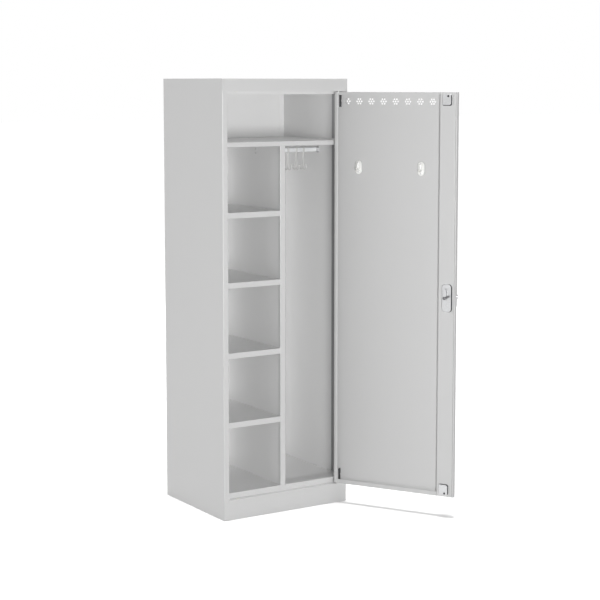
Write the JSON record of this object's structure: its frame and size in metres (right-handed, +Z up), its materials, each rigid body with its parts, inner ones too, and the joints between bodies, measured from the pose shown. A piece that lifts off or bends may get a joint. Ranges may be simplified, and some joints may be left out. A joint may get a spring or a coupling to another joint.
{
  "type": "school locker",
  "caption": "Tall steel school locker with one wide vented door, shelves beside a hanging space with a clothes rail, coat hooks on the door and a three-point turn lock.",
  "frame": {"origin": "centre of the cabinet's footprint, on the floor, in the plane of the plinth's bearing flange", "axes": "+Z up; the front faces -Y; +X is to the right of someone who looks at the front, on the hinge side"},
  "size_m": [0.8583, 0.9621, 1.8],
  "materials": {
    "body_paint": "semi-gloss light grey powder coat",
    "door_paint": "semi-gloss light grey powder coat",
    "zinc": "zinc-plated steel",
    "black_plastic": "matte",
    "white_plastic": "semi-gloss",
    "nylon": "satin",
    "chrome": "polished",
    "rubber": "matte"
  },
  "bodies": {
    "carcass": {"back_panel": "body_paint", "bottom_panel": "body_paint", "clothes_rail": "zinc", "door_buffers": "rubber", "hat_shelf": "body_paint", "hat_shelf_clips": "zinc", "hinge_bush_bottom": "nylon", "hinge_bush_top": "nylon", "partition": "body_paint", "plinth": "body_paint", "rail_screws": "zinc", "rail_support_left": "zinc", "rail_support_right": "zinc", "rod_socket_bottom": "nylon", "rod_socket_top": "nylon", "shelf_1": "body_paint", "shelf_2": "body_paint", "shelf_3": "body_paint", "shelf_4": "body_paint", "shelf_clips": "zinc", "side_panel_left": "body_paint", "side_panel_right": "body_paint", "top_panel": "body_paint"},
    "door": {"door_panel": "door_paint", "lock_channel": "door_paint", "hinge_housing_top": "black_plastic", "hinge_housing_bottom": "black_plastic", "hinge_pin_top": "zinc", "hinge_pin_bottom": "zinc", "coat_hook_hinge_side": "white_plastic", "coat_hook_lock_side": "white_plastic", "hook_screws": "zinc", "rod_guide_top": "zinc", "rod_guide_bottom": "zinc", "guide_nose_top": "black_plastic", "guide_nose_bottom": "black_plastic", "guide_screws": "zinc", "lock_case": "zinc", "lock_case_screws": "zinc", "handle_rosette": "chrome"},
    "handle": {"turn_handle": "chrome", "spindle": "zinc", "drive_pinion": "zinc", "latch_cam": "zinc", "spindle_nut": "zinc"},
    "cylinder": {"lock_cylinder": "chrome"},
    "top_rod": {"rod_top": "zinc", "rod_tip_top": "zinc"},
    "bottom_rod": {"rod_bottom": "zinc", "rod_tip_bottom": "zinc"},
    "hook_1": {"rail_hook_1": "white_plastic"},
    "hook_2": {"rail_hook_2": "white_plastic"},
    "hook_3": {"rail_hook_3": "white_plastic"}
  },
  "joints": [
    {"name": "door_hinge", "type": "hinge", "parent": "carcass", "child": "door", "pos_m": [0.2615, -0.243, 0.9], "axis": [0, 0, 1], "range_deg": [-120, 0]},
    {"name": "handle_turn", "type": "hinge", "parent": "door", "child": "handle", "pos_m": [0.5054, -0.67145, 0.912], "axis": [0.866, 0.5, 0], "range_deg": [0, 90]},
    {"name": "cylinder_turn", "type": "hinge", "parent": "handle", "child": "cylinder", "pos_m": [0.54178, -0.65045, 0.912], "axis": [0.866, 0.5, 0], "range_deg": [0, 90]},
    {"name": "top_rod_slide", "type": "slide", "parent": "door", "child": "top_rod", "axis": [0, 0, 1], "range_m": [0, 0.0189]},
    {"name": "bottom_rod_slide", "type": "slide", "parent": "door", "child": "bottom_rod", "axis": [0, 0, -1], "range_m": [0, 0.0189]},
    {"name": "rail_hook_1_slide", "type": "slide", "parent": "carcass", "child": "hook_1", "axis": [1, 0, 0], "range_m": [-0.138, 0.015]},
    {"name": "rail_hook_2_slide", "type": "slide", "parent": "carcass", "child": "hook_2", "axis": [1, 0, 0], "range_m": [-0.015, 0.012]},
    {"name": "rail_hook_3_slide", "type": "slide", "parent": "carcass", "child": "hook_3", "axis": [1, 0, 0], "range_m": [-0.013, 0.058]}
  ],
  "couplings": [
    {"joint": "top_rod_slide", "follows": "handle_turn", "m_per_rad": 0.012},
    {"joint": "bottom_rod_slide", "follows": "handle_turn", "m_per_rad": 0.012}
  ]
}
